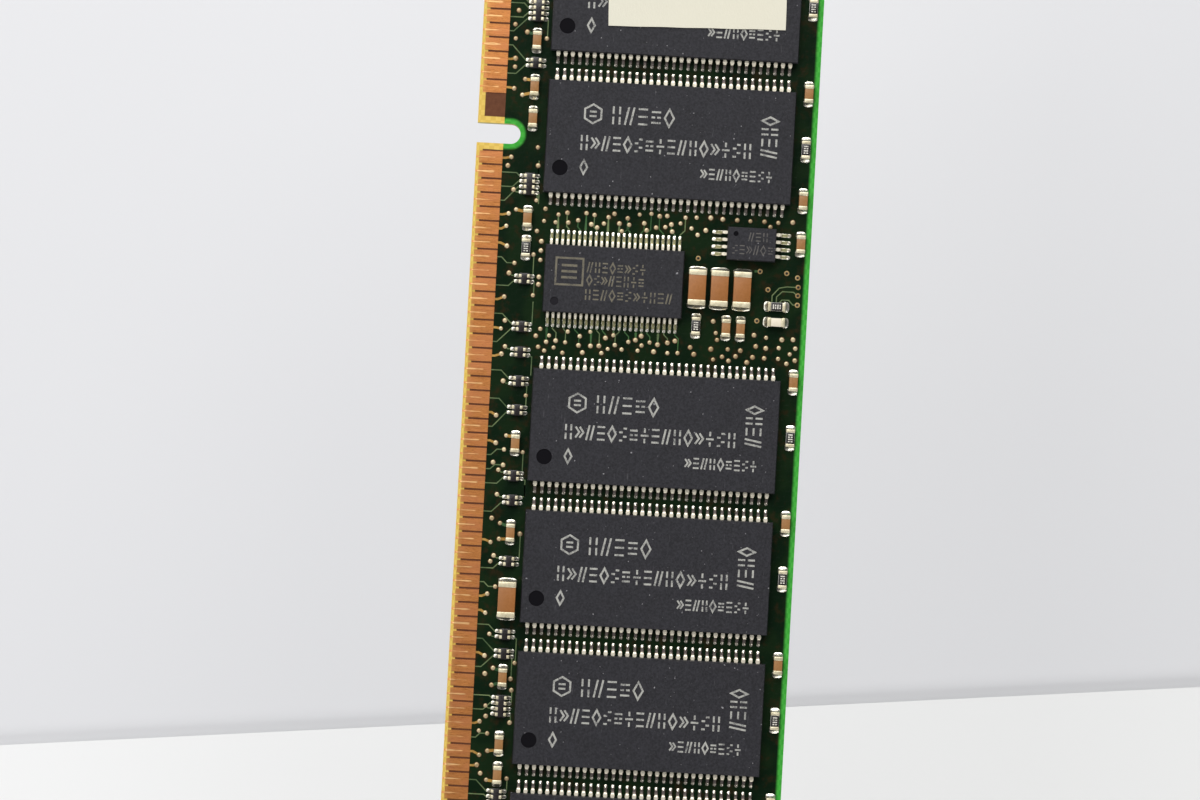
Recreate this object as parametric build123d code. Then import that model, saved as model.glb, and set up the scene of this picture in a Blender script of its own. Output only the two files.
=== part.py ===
from build123d import *
from collections import namedtuple
import os

# Registered memory module, 184 contacts, double sided, lying flat. Units are millimetres.
# X runs along the module's length and Y across its height, from the contact edge (-Y) to the top edge (+Y).
# The origin is at the centre of the outline, on the plane that the underside packages rest on.

os.makedirs("parts", exist_ok=True)

# ---- Board ----
BOARD_LENGTH = 133.35
BOARD_HEIGHT = 30.48
BOARD_THICK = 1.27
PACKAGE_TALL = 1.1                  # every package, from the board face to its top
BOARD_LOW = PACKAGE_TALL            # the underside face, which stands on its packages
BOARD_TOP = BOARD_LOW + BOARD_THICK
CONTACT_EDGE = -BOARD_HEIGHT / 2

KEY_X = -6.62                       # off-centre key notch with a round end
KEY_WIDTH = 1.8
KEY_DEPTH = 3.9
LATCH_RADIUS = 2.0                  # half-round socket latch notches in both short ends
LATCH_FROM_EDGE = (10.0, 17.78)
HOLE_RADIUS = 1.25                  # tooling holes
HOLE_INSET = 2.3
BEVEL_ALONG = 0.3                   # lead-in bevel on both faces of the contact edge
BEVEL_DEEP = 0.12

# ---- Edge contacts ----
CONTACT_PITCH = 1.27
CONTACT_WIDTH = 1.1
CONTACT_NEAR = 0.3                  # distance of the contact's two ends from the board edge
CONTACT_FAR = 2.4
CONTACT_THICK = 0.04
CONTACT_GROUPS = ((-60.325, 40), (-4.445, 52))   # first contact's X and how many follow it

# ---- Packages ----
# width is across the two rows of leads (X) and length along them (Y), before the package is turned.
Package = namedtuple("Package", "width length leads pitch span shoulder foot_width foot die dot dot_at")
MEMORY = Package(10.16, 22.22, 33, 0.65, 11.76, 0.39, 0.30, 0.42, (8.0, 15.5), 1.4, (2.83, -9.71))
LOGIC = Package(6.1, 12.5, 24, 0.5, 8.1, 0.27, 0.22, 0.55, (3.2, 5.4), 0.75, (2.04, -5.2))
SMALL = Package(4.4, 3.0, 4, 0.65, 6.4, 0.30, 0.25, 0.60, (1.6, 1.4), 0.45, (-1.45, 0.88))

STANDOFF = 0.1                      # gap between the board and the underside of a package
LEAD_THICK = 0.125
LEAD_PLANE = (STANDOFF + PACKAGE_TALL) / 2
LEAD_TAIL = 0.5                     # how far a lead runs on inside the moulding
SHOULDER_LONG = 0.32
HEEL_BACK = 0.06                    # how far the sloping shank leans out before the foot
DRAFT = 10.0                        # degrees, on all four sides of each half of the moulding
DOT_DEEP = 0.06
DIE_THICK = 0.28

MEMORY_X = (-57.4, -44.7, -32.0, -19.3, -6.6, 19.3, 32.0, 44.7, 57.4)
MEMORY_Y = 2.07
CLOCK_AT = (6.12, -2.29)
SETTINGS_AT = (2.15, 9.88)
REGISTERS_AT = ((6.35, -3.9), (6.35, 6.1))

# ---- Chip capacitors, resistors and resistor arrays ----
Chip = namedtuple("Chip", "length width height end wrap")
SMALL_CAP = Chip(1.6, 0.8, 0.8, 0.35, 0.03)
LARGE_CAP = Chip(3.2, 1.6, 1.15, 0.5, 0.04)
RESISTOR = Chip(1.6, 0.8, 0.5, 0.3, 0.03)

ARRAY_PITCH = 0.5
ARRAY_WIDTH = 1.0                   # over the terminals, across the board's length
ARRAY_TALL = 0.4
ARRAY_END = 0.18
ARRAY_WRAP = 0.05
ARRAY_TERMINAL = 0.3

LOWER_ROW = -10.3                   # the row of small parts between the contacts and the packages
UPPER_ROW = 14.3                    # the row along the top edge
QUAD_ARRAYS_X = (-62.3, -49.6, -36.9, -28.2, -17.8, -2.2, 44.7, 53.1, 57.3)
PAIR_ARRAYS_X = (-59.2, -55.0, -46.4, -42.1, -33.7, -31.2, -24.8, -22.4, -13.1, 6.3, 10.6, 12.9, 15.5,
                 18.1, 24.0, 26.2, 31.7, 38.25, 40.0, 60.3, 62.1)
LOWER_CAPS_X = (-57.2, -52.4, -44.3, -39.8, -26.5, -20.3, -15.1, -10.95, -8.1, 0.85, 21.1, 29.1, 42.1,
                48.1, 50.85, 64.2)
UPPER_CAP_BACK = 5.0                # one upper capacitor this far before each memory package's centre
EXTRA_UPPER_CAPS_X = (-2.0, 1.9)
LOWER_RESISTOR_X = 3.5
LARGE_CAPS_AT = ((35.1, LOWER_ROW), (6.25, 5.22), (6.25, 7.22), (6.25, 9.25))
MIDDLE_CAPS_AT = ((9.75, 8.0), (9.75, 9.3))
MIDDLE_RESISTOR_AT = (9.7, 5.3)
CROSSWISE_AT = ((7.6, 12.45), (9.0, 12.45))        # a resistor and a capacitor lying along Y

# ---- Paper label ----
LABEL_LONG = 47.0
LABEL_WIDE = 15.85
LABEL_THICK = 0.1
LABEL_NEAR_EDGE = (-16.9, 3.94)     # middle of the short edge that shows between the packages
LABEL_TURN = 1.7


def save(name, solids):
    """One node: a solid, or a group of separate identical ones."""
    solids = list(solids)
    shape = solids[0] if len(solids) == 1 else Compound(solids)
    export_step(shape, f"parts/{name}.step", write_pcurves=False)


def on_top(x, y, turn=0):
    """Where a part made with its seating plane at Z = 0 goes on the top face."""
    return Pos(x, y, BOARD_TOP) * Rot(0, 0, turn)


def on_underside(x, y, turn=0):
    """The same on the underside: the part is rolled over about X, not mirrored."""
    return Pos(x, y, BOARD_LOW) * Rot(180, 0, 0) * Rot(0, 0, turn)


# ---- Board and contacts ----
def circuit_board():
    slot_end = CONTACT_EDGE + KEY_DEPTH - KEY_WIDTH / 2
    outline = Rectangle(BOARD_LENGTH, BOARD_HEIGHT)
    outline -= Pos(KEY_X, slot_end) * Circle(KEY_WIDTH / 2)
    slot = Rectangle(KEY_WIDTH, KEY_DEPTH, align=(Align.CENTER, Align.MAX))
    outline -= Pos(KEY_X, slot_end) * slot
    for side in (-1, 1):
        for up in LATCH_FROM_EDGE:
            outline -= Pos(side * BOARD_LENGTH / 2, CONTACT_EDGE + up) * Circle(LATCH_RADIUS)
        hole = Pos(side * (BOARD_LENGTH / 2 - HOLE_INSET), CONTACT_EDGE + HOLE_INSET)
        outline -= hole * Circle(HOLE_RADIUS)
    board = Pos(0, 0, BOARD_LOW) * extrude(outline, amount=BOARD_THICK)
    for face, inward in ((BOARD_TOP, -1), (BOARD_LOW, 1)):
        bevel = Polygon((CONTACT_EDGE, face), (CONTACT_EDGE + BEVEL_ALONG, face),
                        (CONTACT_EDGE, face + inward * BEVEL_DEEP), align=None)
        board -= extrude(Plane.YZ * bevel, amount=BOARD_LENGTH, both=True)
    return board.solids()


def contact_fingers(face_z):
    """The contacts on one face, thin plates from the bevel to the edge of the solder mask."""
    middle = CONTACT_EDGE + (CONTACT_NEAR + CONTACT_FAR) / 2
    finger = Box(CONTACT_WIDTH, CONTACT_FAR - CONTACT_NEAR, CONTACT_THICK)
    fingers = []
    for first_x, count in CONTACT_GROUPS:
        for i in range(count):
            fingers += (Pos(first_x + i * CONTACT_PITCH, middle, face_z) * finger).solids()
    return fingers


# ---- Packages ----
def strip_outline(line, thickness):
    """Outline of a strip of even thickness that follows a bent centre line, with mitred bends."""
    directions = [(Vector(b) - Vector(a)).normalized() for a, b in zip(line, line[1:])]
    normals = [Vector(-d.Y, d.X) for d in directions]
    mitres = [normals[0]]
    for before, after in zip(normals, normals[1:]):
        middle = (before + after).normalized()
        mitres.append(middle / middle.dot(before))
    mitres.append(normals[-1])
    half = thickness / 2
    left = [Vector(p) + m * half for p, m in zip(line, mitres)]
    right = [Vector(p) - m * half for p, m in zip(line, mitres)]
    return Polygon(*left, *reversed(right), align=None)


def gull_wing(package):
    """A lead that leaves the moulding's side at X = 0 along +X and puts its foot down on Z = 0."""
    reach = (package.span - package.width) / 2
    foot_z = LEAD_THICK / 2
    heel = reach - package.foot + LEAD_THICK / 2
    line = [(-LEAD_TAIL, LEAD_PLANE), (heel - HEEL_BACK, LEAD_PLANE), (heel, foot_z), (reach, foot_z)]
    side_view = extrude(Plane.XZ * strip_outline(line, LEAD_THICK), amount=package.shoulder, both=True)
    shoulder = Rectangle(SHOULDER_LONG, package.shoulder, align=(Align.MIN, Align.CENTER))
    shank = Rectangle(LEAD_TAIL + reach, package.foot_width, align=(Align.MIN, Align.CENTER))
    plan = shoulder + Pos(-LEAD_TAIL, 0) * shank
    return (side_view & extrude(plan, amount=PACKAGE_TALL)).solid()


def lead_rows(package):
    """Every lead of a package that is centred on the origin and seated on Z = 0."""
    lead = gull_wing(package)
    leads = []
    for turn in (0, 180):
        for i in range(package.leads):
            along = (i - (package.leads - 1) / 2) * package.pitch
            leads.append(Rot(0, 0, turn) * Pos(package.width / 2, along, 0) * lead)
    return leads


def die_of(package):
    """The silicon chip inside the moulding."""
    return Pos(0, 0, LEAD_PLANE) * Box(*package.die, DIE_THICK)


def moulding(package, leads):
    """Epoxy body in two drafted halves, with an orientation dot, moulded round its die and leads."""
    plan = Pos(0, 0, LEAD_PLANE) * Rectangle(package.width, package.length)
    half = (PACKAGE_TALL - STANDOFF) / 2
    body = extrude(plan, amount=half, taper=DRAFT)
    body += extrude(plan, amount=half, dir=(0, 0, -1), taper=DRAFT)
    body -= Pos(*package.dot_at, PACKAGE_TALL) * Cylinder(package.dot / 2, DOT_DEEP * 2)
    body -= die_of(package)
    body -= leads
    return body.solid()


def package_parts(package):
    """(moulding, leads, die) of one package, centred on the origin and seated on Z = 0."""
    leads = lead_rows(package)
    return moulding(package, leads), leads, die_of(package).solid()


def save_package(name, parts, place):
    """Writes a package's moulding and leads at its place on the board, and gives its die back."""
    body, leads, die = parts
    save(name, [place * body])
    save(name + "_leads", [place * lead for lead in leads])
    return place * die


# ---- Chip parts ----
def chip_part(chip):
    """(ceramic body, two end caps) of a chip part lying along X, seated on Z = 0."""
    overall = Pos(0, 0, chip.height / 2) * Box(chip.length, chip.width, chip.height)
    inner = [size - 2 * chip.wrap for size in (chip.length, chip.width, chip.height)]
    ceramic = Pos(0, 0, chip.height / 2) * Box(*inner)
    reach = (chip.length - chip.end) / 2
    caps = []
    for side in (-1, 1):
        window = Pos(side * reach, 0, chip.height / 2) * Box(chip.end, chip.width, chip.height)
        caps.append(((overall & window) - ceramic).solid())
    return ceramic.solid(), caps


def array_part(elements):
    """(ceramic body, terminals) of a resistor array, its terminals facing both ways along Y."""
    ceramic_width = ARRAY_WIDTH - 2 * ARRAY_WRAP
    ceramic_tall = ARRAY_TALL - 2 * ARRAY_WRAP
    ceramic = Pos(0, 0, ARRAY_TALL / 2) * Box(elements * ARRAY_PITCH, ceramic_width, ceramic_tall)
    terminals = []
    for side in (-1, 1):
        for i in range(elements):
            x = (i - (elements - 1) / 2) * ARRAY_PITCH
            y = side * (ARRAY_WIDTH - ARRAY_END) / 2
            block = Pos(x, y, ARRAY_TALL / 2) * Box(ARRAY_TERMINAL, ARRAY_END, ARRAY_TALL)
            terminals.append((block - ceramic).solid())
    return ceramic.solid(), terminals


def save_chips(bodies_name, terminals_name, part, places):
    """Writes all the bodies of one kind as one node and all their terminals as another."""
    body, terminals = part
    save(bodies_name, [place * body for place in places])
    save(terminals_name, [place * terminal for place in places for terminal in terminals])


def paper_label():
    """A flat sticker lying on the tops of the packages that it covers."""
    sheet = Box(LABEL_LONG, LABEL_WIDE, LABEL_THICK, align=(Align.MAX, Align.CENTER, Align.MIN))
    return Pos(*LABEL_NEAR_EDGE, BOARD_TOP + PACKAGE_TALL) * Rot(0, 0, LABEL_TURN) * sheet


# ---- The whole module, node by node ----
save("circuit_board", circuit_board())
save("contact_fingers_top", contact_fingers(BOARD_TOP + CONTACT_THICK / 2))
save("contact_fingers_bottom", contact_fingers(BOARD_LOW - CONTACT_THICK / 2))

memory = package_parts(MEMORY)
memory_dies = []
for number, x in enumerate(MEMORY_X, 1):
    memory_dies.append(save_package(f"dram_top_{number}", memory, on_top(x, MEMORY_Y)))
    memory_dies.append(save_package(f"dram_bottom_{number}", memory, on_underside(x, MEMORY_Y)))
save("dram_dies", memory_dies)

logic = package_parts(LOGIC)
logic_dies = [save_package("clock_driver", logic, on_top(*CLOCK_AT))]
for number, place in enumerate(REGISTERS_AT, 1):
    logic_dies.append(save_package(f"register_{number}", logic, on_underside(*place, turn=90)))
logic_dies.append(save_package("spd_eeprom", package_parts(SMALL), on_top(*SETTINGS_AT, turn=90)))
save("logic_dies", logic_dies)

both_faces = (on_top, on_underside)
upper_caps_x = [x - UPPER_CAP_BACK for x in MEMORY_X] + list(EXTRA_UPPER_CAPS_X)
small_caps = [face(x, LOWER_ROW) for face in both_faces for x in LOWER_CAPS_X]
small_caps += [face(x, UPPER_ROW) for face in both_faces for x in upper_caps_x]
small_caps += [on_top(*place) for place in MIDDLE_CAPS_AT]
small_caps.append(on_top(*CROSSWISE_AT[1], turn=90))
save_chips("capacitors_0603", "capacitor_0603_terminals", chip_part(SMALL_CAP), small_caps)

large_caps = [on_top(*place) for place in LARGE_CAPS_AT]
save_chips("capacitors_1206", "capacitor_1206_terminals", chip_part(LARGE_CAP), large_caps)

resistors = [face(x, UPPER_ROW) for face in both_faces for x in MEMORY_X]
resistors += [on_top(LOWER_RESISTOR_X, LOWER_ROW), on_top(*MIDDLE_RESISTOR_AT)]
resistors.append(on_top(*CROSSWISE_AT[0], turn=90))
save_chips("resistors_0603", "resistor_0603_terminals", chip_part(RESISTOR), resistors)

quad_body, quad_terminals = array_part(4)
pair_body, pair_terminals = array_part(2)
quad_places = [face(x, LOWER_ROW) for face in both_faces for x in QUAD_ARRAYS_X]
pair_places = [face(x, LOWER_ROW) for face in both_faces for x in PAIR_ARRAYS_X]
save("resistor_arrays_quad", [place * quad_body for place in quad_places])
save("resistor_arrays_pair", [place * pair_body for place in pair_places])
array_terminals = [place * terminal for place in quad_places for terminal in quad_terminals]
array_terminals += [place * terminal for place in pair_places for terminal in pair_terminals]
save("array_terminals", array_terminals)

save("label", paper_label().solids())
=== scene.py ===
import math
import random

import bmesh
import bpy
import numpy as np
from mathutils import Matrix, Vector


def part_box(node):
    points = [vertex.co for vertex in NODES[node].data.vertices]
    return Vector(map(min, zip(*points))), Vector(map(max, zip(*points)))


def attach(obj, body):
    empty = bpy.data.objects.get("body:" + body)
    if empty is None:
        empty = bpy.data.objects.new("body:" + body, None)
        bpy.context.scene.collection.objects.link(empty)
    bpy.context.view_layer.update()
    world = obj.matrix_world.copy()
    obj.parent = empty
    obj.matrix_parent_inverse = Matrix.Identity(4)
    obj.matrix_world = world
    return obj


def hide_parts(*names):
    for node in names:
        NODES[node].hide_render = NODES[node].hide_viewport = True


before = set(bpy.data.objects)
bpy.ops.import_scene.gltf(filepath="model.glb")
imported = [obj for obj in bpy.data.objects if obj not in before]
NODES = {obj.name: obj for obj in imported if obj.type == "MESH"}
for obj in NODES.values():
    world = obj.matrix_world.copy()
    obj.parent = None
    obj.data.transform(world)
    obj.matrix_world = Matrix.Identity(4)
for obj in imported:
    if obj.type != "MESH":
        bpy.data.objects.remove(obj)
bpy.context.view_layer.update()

# Lengths below are in millimetres, in the CAD frame; MM turns them into Blender's metres.
MM = 0.001

# ---- Driving dimensions, the same as the CAD's ----
BOARD_LOW, BOARD_TOP = (corner.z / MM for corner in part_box("circuit_board"))
HALF_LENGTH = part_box("circuit_board")[1].x / MM
HALF_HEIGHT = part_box("circuit_board")[1].y / MM
BOARD_MIDDLE = (BOARD_LOW + BOARD_TOP) / 2
PACKAGE_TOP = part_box("dram_top_1")[1].z / MM
KEY_X, KEY_RADIUS, KEY_DEPTH = -6.62, 0.9, 3.9
LATCH_RADIUS, LATCH_Y = 2.0, (-5.24, 2.54)
HOLE_RADIUS, HOLE_INSET = 1.25, 2.3
CONTACT_PITCH = 1.27
CONTACT_FAR = 2.4               # bare strip along the contact edge, as wide as the contacts reach
BEVEL_ALONG, BEVEL_DEEP = 0.3, 0.12
CONTACT_GROUPS = ((-60.325, 40), (-4.445, 52))      # first contact's X and the number of contacts
COPPER_INSET = 0.58             # the inner copper stays this far from the outline
LEAD_THICK, HEEL_BACK = 0.125, 0.06
ARRAY_PITCH, ARRAY_WIDE, ARRAY_TALL = 0.5, 1.0, 0.4
LABEL_LONG, LABEL_WIDE, LABEL_TURN = 47.0, 15.85, math.radians(1.7)
LABEL_NEAR_EDGE = (-16.9, 3.94)

TOP, UNDERSIDE = 1, -1
MEMORY_NAMES = {TOP: [f"dram_top_{i}" for i in range(1, 10)],
                UNDERSIDE: [f"dram_bottom_{i}" for i in range(1, 10)]}
REGISTERS = ("register_1", "register_2")

random.seed(184)


# ---- geometry helpers

def face_z(side):
    """Height of the board's face on one side."""
    return BOARD_TOP if side == TOP else BOARD_LOW


def middle_of(node):
    """Middle of a CAD node's box, in millimetres."""
    low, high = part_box(node)
    return (low + high) / 2 / MM


def new_object(name, data):
    """A new object that holds the data, linked to the scene."""
    made = bpy.data.objects.new(name, data)
    bpy.context.scene.collection.objects.link(made)
    return made


class Piece:
    """Gathers many small shapes, in millimetres, into one mesh object of the part."""

    def __init__(self, name):
        self.name = name
        self.points = []
        self.faces = []
        self.count = 0

    def add(self, shape, matrix=None):
        points, faces = shape
        points = np.asarray(points, float).reshape(-1, 3)
        if matrix is not None:
            turn = np.array(matrix.to_3x3())
            points = points @ turn.T + np.array(matrix.translation)
        self.points.append(points)
        self.faces.extend([i + self.count for i in face] for face in faces)
        self.count += len(points)

    def make(self, material, slot, smooth_below=40, replaces=()):
        mesh = bpy.data.meshes.new(self.name)
        mesh.from_pydata((np.concatenate(self.points) * MM).tolist(), [], self.faces)
        mesh.validate()
        if smooth_below:
            mesh.shade_smooth()
            mesh.set_sharp_from_angle(angle=math.radians(smooth_below))
        mesh.materials.append(material)
        made = new_object(self.name, mesh)
        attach(made, "root")
        if replaces:
            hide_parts(*replaces)


def islands(node):
    """(low, high) corners, in millimetres, of each separate solid in a CAD node."""
    bm = bmesh.new()
    bm.from_mesh(NODES[node].data)
    bmesh.ops.remove_doubles(bm, verts=bm.verts, dist=1e-8)
    seen, boxes = set(), []
    for start in bm.verts:
        if start in seen:
            continue
        seen.add(start)
        stack, found = [start], []
        while stack:
            vertex = stack.pop()
            found.append(vertex.co / MM)
            for edge in vertex.link_edges:
                other = edge.other_vert(vertex)
                if other not in seen:
                    seen.add(other)
                    stack.append(other)
        corners = np.array(found)
        boxes.append((Vector(corners.min(0)), Vector(corners.max(0))))
    bm.free()
    return boxes


def side_of(box):
    """Which side of the board a box of (low, high) corners is on."""
    return TOP if (box[0].z + box[1].z) / 2 > BOARD_MIDDLE else UNDERSIDE


def solids_of(node):
    """(centre, size, side of the board) of each separate solid in a CAD node."""
    return [((low + high) / 2, high - low, side_of((low, high))) for low, high in islands(node)]


def standing(x, y, side, along=(1, 0)):
    """Matrix whose first axis runs along a board direction and whose third leaves the board face."""
    out = Vector((along[0], along[1], 0)).normalized()
    up = Vector((0, 0, side))
    across = up.cross(out)
    turn = Matrix((out, across, up)).transposed()
    return Matrix.Translation((x, y, face_z(side))) @ turn.to_4x4()


def rounded_box(length, width, height, radius, steps=2):
    """A box with rounded edges, centred in plan and standing on the plane through the origin."""
    bm = bmesh.new()
    bmesh.ops.create_cube(bm, size=1)
    for vertex in bm.verts:
        vertex.co = Vector((vertex.co.x * length, vertex.co.y * width, (vertex.co.z + 0.5) * height))
    bmesh.ops.bevel(bm, geom=list(bm.edges), offset=radius, segments=steps, profile=0.5, affect="EDGES")
    bm.verts.index_update()
    shape = [tuple(v.co) for v in bm.verts], [[v.index for v in f.verts] for f in bm.faces]
    bm.free()
    return shape


def skin(rows, columns, ring=False, loop=False, flip=False, first=0):
    """Faces over a grid of points: ring closes each row on itself, loop joins the last row to the first."""
    faces = []
    for i in range(rows if loop else rows - 1):
        a, b = first + i * columns, first + (i + 1) % rows * columns
        for j in range(columns if ring else columns - 1):
            k = (j + 1) % columns
            faces.append([a + j, a + k, b + k, b + j] if flip else [a + j, b + j, b + k, a + k])
    return faces


def strip(line, width, thick=0.01, closed=False):
    """A thin raised strip with mitred bends, lying on the plane through the origin."""
    points = [Vector(p) for p in line]
    last = len(points) - 1
    normals = []
    for start, end in zip(points, points[1:] + points[:1]):
        way = (end - start).normalized()
        normals.append(Vector((-way.y, way.x)))
    verts = []
    for i, point in enumerate(points):
        beside = [normals[i - 1], normals[i]]
        if not closed and i in (0, last):
            beside = [normals[min(i, last - 1)]]
        mitre = sum(beside, Vector((0, 0))).normalized()
        mitre *= width / 2 / max(0.4, mitre.dot(beside[0]))
        left, right = point + mitre, point - mitre
        verts += [(left.x, left.y, 0), (left.x, left.y, thick), (right.x, right.y, thick),
                  (right.x, right.y, 0)]
    faces = skin(len(points), 4, ring=True, loop=closed)
    if not closed:
        faces += [[0, 1, 2, 3], [4 * last + j for j in (3, 2, 1, 0)]]
    return verts, faces


def round_stack(profile, segments=12):
    """A turned shape: profile is (radius, height) from the bottom rim up to the axis or a hole."""
    open_top = profile[-1][0] > 0
    rings = profile if open_top else profile[:-1]
    verts = []
    for radius, height in rings:
        for i in range(segments):
            angle = 2 * math.pi * i / segments
            verts.append((radius * math.cos(angle), radius * math.sin(angle), height))
    faces = skin(len(rings), segments, ring=True, loop=open_top, flip=True)
    if not open_top:
        tip, last = len(verts), len(verts) - segments
        verts.append((0, 0, profile[-1][1]))
        faces += [[last + i, last + (i + 1) % segments, tip] for i in range(segments)]
        faces.append(list(reversed(range(segments))))
    return verts, faces


def solder_mound(body_width, pad_width, back, toe, tall, flank):
    """Solder on a pad: a concave fillet that runs out from a metal end at the origin, along +X."""
    pad_film, thinnest = 0.045, 0.012
    us = [-back, -back * 0.5, -0.001] + [toe * s for s in (0.0, 0.08, 0.2, 0.38, 0.6, 0.8, 0.93, 1.0)]
    half_body, half_pad = body_width / 2, pad_width / 2
    vs = [-half_pad, -half_pad * 0.97, -half_body, -half_body * 0.5, 0.0]
    vs += [-v for v in reversed(vs[:-1])]
    verts = []
    for u in us:
        for v in vs:
            edge = max(0.0, (abs(v) - half_body) / max(half_pad - half_body, 1e-6))
            if u <= 0:
                high = flank * (1 - edge) ** 1.5
            else:
                ridge = 1 - (v / half_pad) ** 2
                high = (tall * (1 - u / toe) ** 2 + pad_film * (1 - (u / toe) ** 3)) * ridge
            outer = u in (us[0], us[-1]) or v in (vs[0], vs[-1])
            narrowed = math.sqrt(1 - 0.84 * max(u / toe, 0) ** 4)
            verts.append((u, v * narrowed, 0.0 if outer else max(high, thinnest)))
    long, wide = len(us), len(vs)
    rim = [i * wide for i in range(long)] + [(long - 1) * wide + j for j in range(1, wide)]
    rim += [i * wide + wide - 1 for i in range(long - 2, -1, -1)] + list(range(wide - 2, 0, -1))
    return verts, skin(long, wide) + [rim[::-1]]


# ---- material helpers

class Paint:
    """A material's node tree, with short calls for the nodes that the materials below share."""

    def __init__(self, name):
        self.material = bpy.data.materials.new(name)
        self.material.use_nodes = True
        self.tree = self.material.node_tree
        self.shader = self.tree.nodes["Principled BSDF"]
        scaled = self.node("ShaderNodeVectorMath", operation="SCALE")
        self.feed(scaled.inputs[0], self.node("ShaderNodeTexCoord").outputs["Object"])
        scaled.inputs["Scale"].default_value = 1 / MM
        self.mm = scaled.outputs[0]
        split = self.node("ShaderNodeSeparateXYZ")
        self.feed(split.inputs[0], self.mm)
        self.x, self.y, self.z = split.outputs

    def node(self, kind, **settings):
        made = self.tree.nodes.new(kind)
        for name, value in settings.items():
            setattr(made, name, value)
        return made

    def feed(self, socket, value):
        if isinstance(value, bpy.types.NodeSocket):
            self.tree.links.new(value, socket)
        else:
            socket.default_value = value

    def math(self, operation, *values):
        made = self.node("ShaderNodeMath", operation=operation)
        for socket, value in zip(made.inputs, values):
            self.feed(socket, value)
        return made.outputs[0]

    def plus(self, first, second):
        return self.math("ADD", first, second)

    def minus(self, first, second):
        return self.math("SUBTRACT", first, second)

    def times(self, first, second):
        return self.math("MULTIPLY", first, second)

    def absolute(self, value):
        return self.math("ABSOLUTE", value)

    def facing(self):
        """How squarely the surface faces up or down, from 0 to 1."""
        split = self.node("ShaderNodeSeparateXYZ")
        self.feed(split.inputs[0], self.node("ShaderNodeTexCoord").outputs["Normal"])
        return self.absolute(split.outputs[2])

    def step(self, value, low, high, out_low=0.0, out_high=1.0):
        """Runs smoothly from out_low to out_high as value goes from low to high."""
        made = self.node("ShaderNodeMapRange", interpolation_type="SMOOTHSTEP")
        for socket, given in zip(made.inputs, (value, low, high, out_low, out_high)):
            self.feed(socket, given)
        return made.outputs[0]

    def mix(self, share, first, second):
        """Blends two colours, each a socket or red, green and blue from 0 to 255."""
        made = self.node("ShaderNodeMix", data_type="RGBA")
        self.feed(made.inputs[0], share)
        for socket, value in ((made.inputs[6], first), (made.inputs[7], second)):
            self.feed(socket, value if isinstance(value, bpy.types.NodeSocket) else (*srgb(*value), 1))
        return made.outputs[2]

    def noise(self, scale, detail=2.0, rough=0.5, stretch=None):
        """Noise over the surface; scale is in features per millimetre."""
        made = self.node("ShaderNodeTexNoise")
        place = self.mm
        if stretch:
            squeezed = self.node("ShaderNodeVectorMath", operation="MULTIPLY")
            self.feed(squeezed.inputs[0], self.mm)
            squeezed.inputs[1].default_value = stretch
            place = squeezed.outputs[0]
        self.feed(made.inputs["Vector"], place)
        made.inputs["Scale"].default_value = scale
        made.inputs["Detail"].default_value = detail
        made.inputs["Roughness"].default_value = rough
        return made.outputs["Fac"]

    def flecked(self, spread, low, high, share, colour, base):
        """Base with specks or streaks of another colour where a noise runs high."""
        return self.mix(self.times(self.step(spread, low, high), share), base, colour)

    def colour(self, value):
        self.feed(self.shader.inputs["Base Color"], value)

    def set(self, **values):
        for name, value in values.items():
            self.feed(self.shader.inputs[name.replace("_", " ")], value)

    def bump(self, height, depth_mm):
        made = self.node("ShaderNodeBump")
        self.feed(made.inputs["Height"], height)
        made.inputs["Distance"].default_value = depth_mm * MM
        self.feed(self.shader.inputs["Normal"], made.outputs[0])


def srgb(red, green, blue):
    """Linear colour of an ordinary 0 to 255 screen colour."""
    return tuple(((c / 255 + 0.055) / 1.055) ** 2.4 if c > 10 else c / 255 / 12.92
                 for c in (red, green, blue))


# ---- materials

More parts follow.
